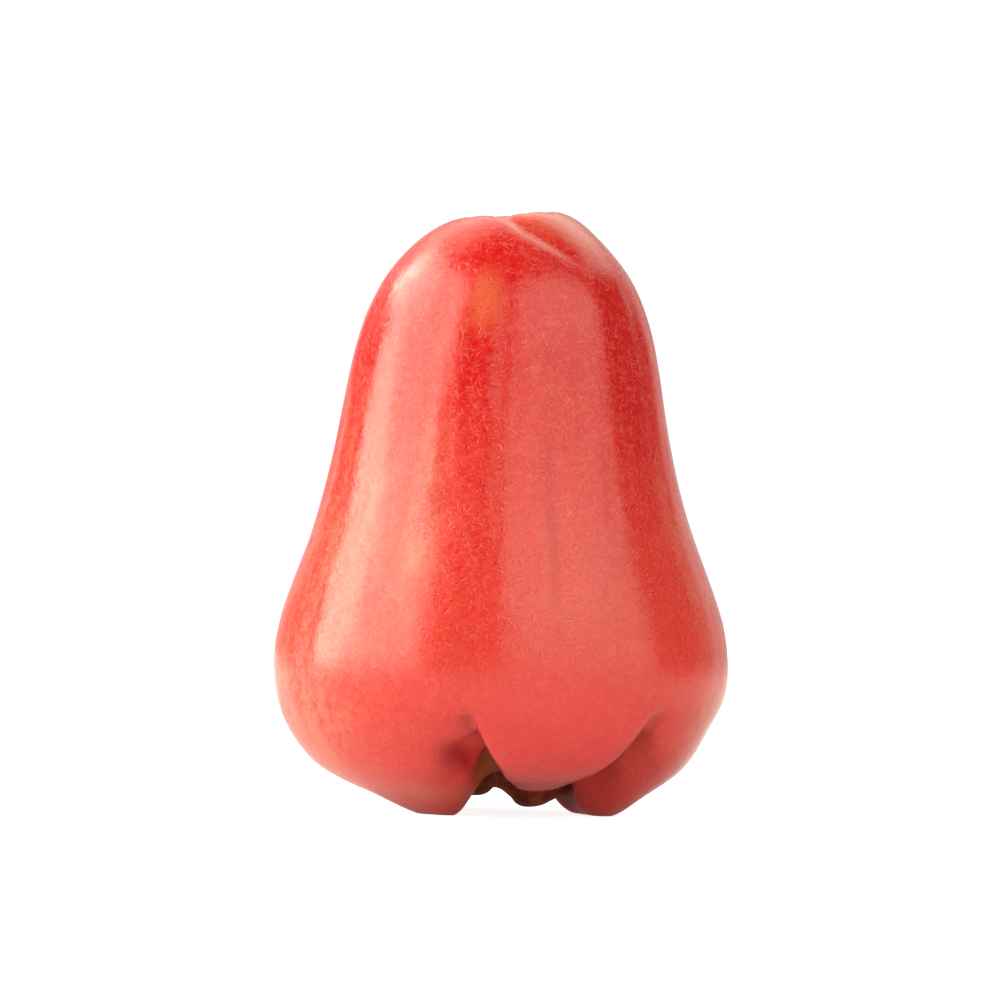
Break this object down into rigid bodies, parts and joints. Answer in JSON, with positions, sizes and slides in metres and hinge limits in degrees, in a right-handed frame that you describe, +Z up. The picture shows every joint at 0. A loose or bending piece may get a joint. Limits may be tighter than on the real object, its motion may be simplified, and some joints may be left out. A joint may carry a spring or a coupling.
{
  "type": "malay apple",
  "caption": "Bell-shaped tropical fruit with a dimpled stem end, a waxy skin and a lobed base that folds round a hollow holding its fleshy calyx.",
  "frame": {"origin": "on the ground, under the middle of the bounding box", "axes": "+Z up, from the lobed base to the stem end; -Y towards the front lobe, the side that the picture shows; +X to the viewer's right"},
  "size_m": [0.0678, 0.0658, 0.0899],
  "materials": {
    "waxy_red_skin": "waxy gloss",
    "olive_brown_sepal": "satin"
  },
  "bodies": {
    "root": {"fruit_body": "waxy_red_skin", "calyx": "olive_brown_sepal"}
  },
  "joints": []
}
